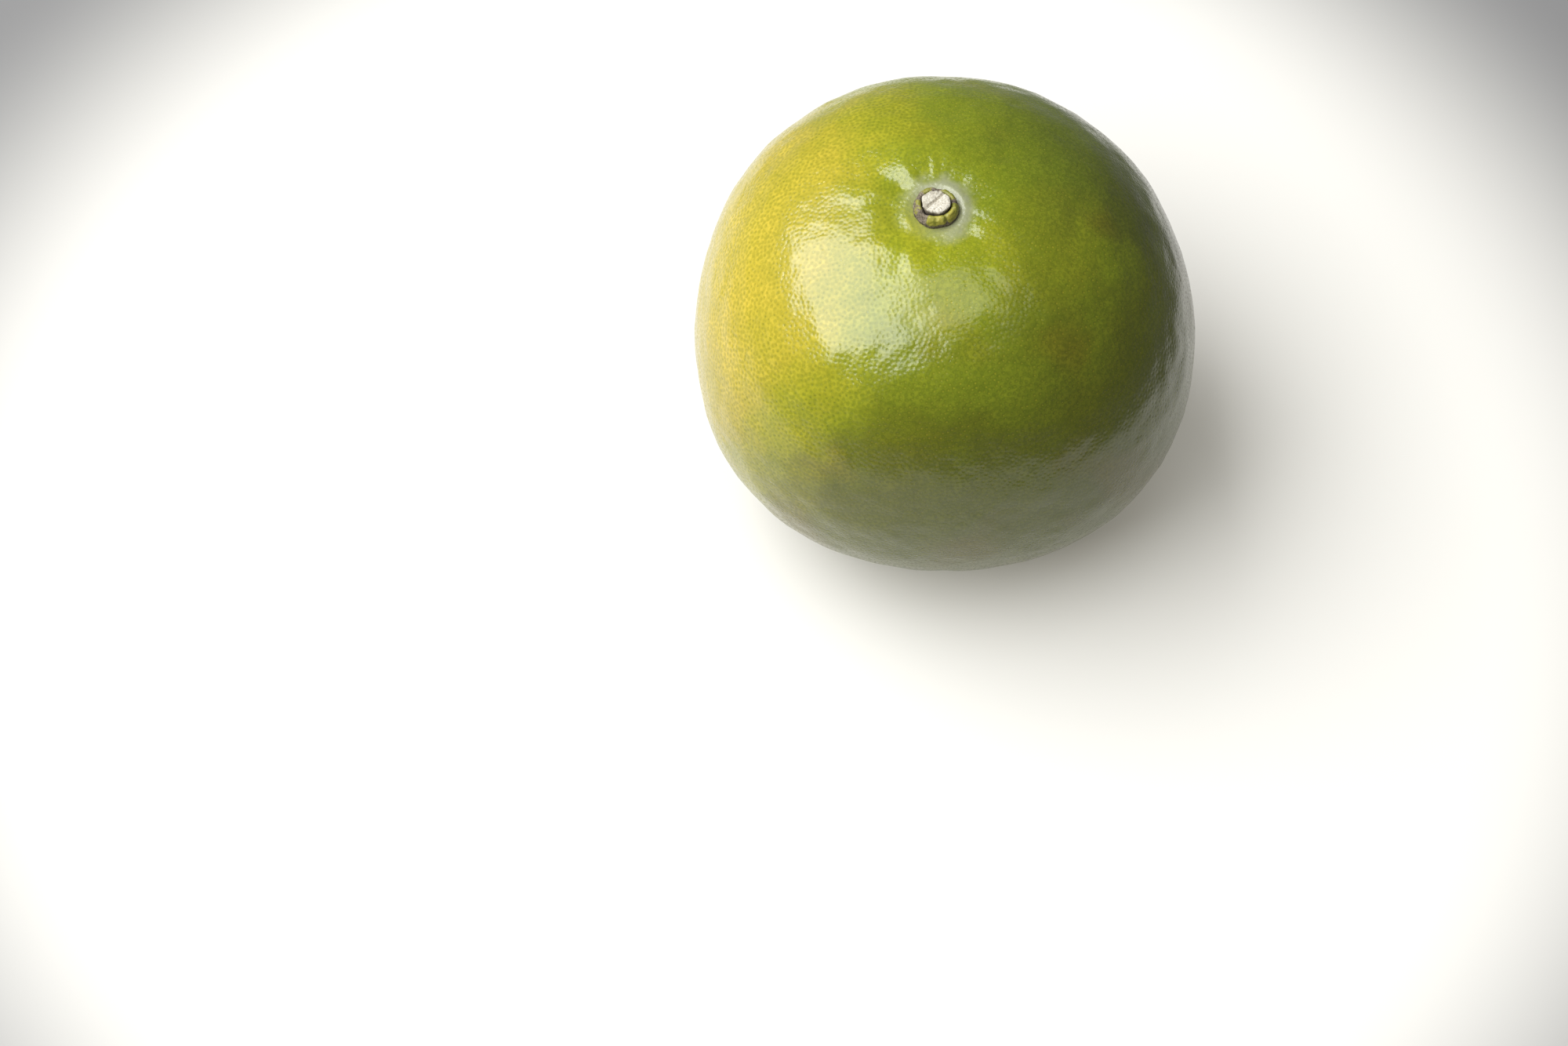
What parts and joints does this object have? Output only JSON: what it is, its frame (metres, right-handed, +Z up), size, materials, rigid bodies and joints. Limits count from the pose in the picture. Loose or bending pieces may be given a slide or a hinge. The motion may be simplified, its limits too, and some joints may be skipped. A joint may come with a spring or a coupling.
{
  "type": "orange",
  "caption": "Whole green orange turning yellow on one side, with its calyx and cut stem stub, resting on its flattened blossom end.",
  "frame": {"origin": "middle of the flat spot that the fruit rests on", "axes": "+Z up through the fruit towards its stem end, +X towards its greener flank, -Y towards the viewer"},
  "size_m": [0.0729, 0.0712, 0.0651],
  "materials": {
    "rind": "waxy",
    "sepal": "dry",
    "cut_wood": "rough cut"
  },
  "bodies": {
    "root": {"fruit": "rind", "calyx": "sepal", "stem_stub": "cut_wood"}
  },
  "joints": []
}
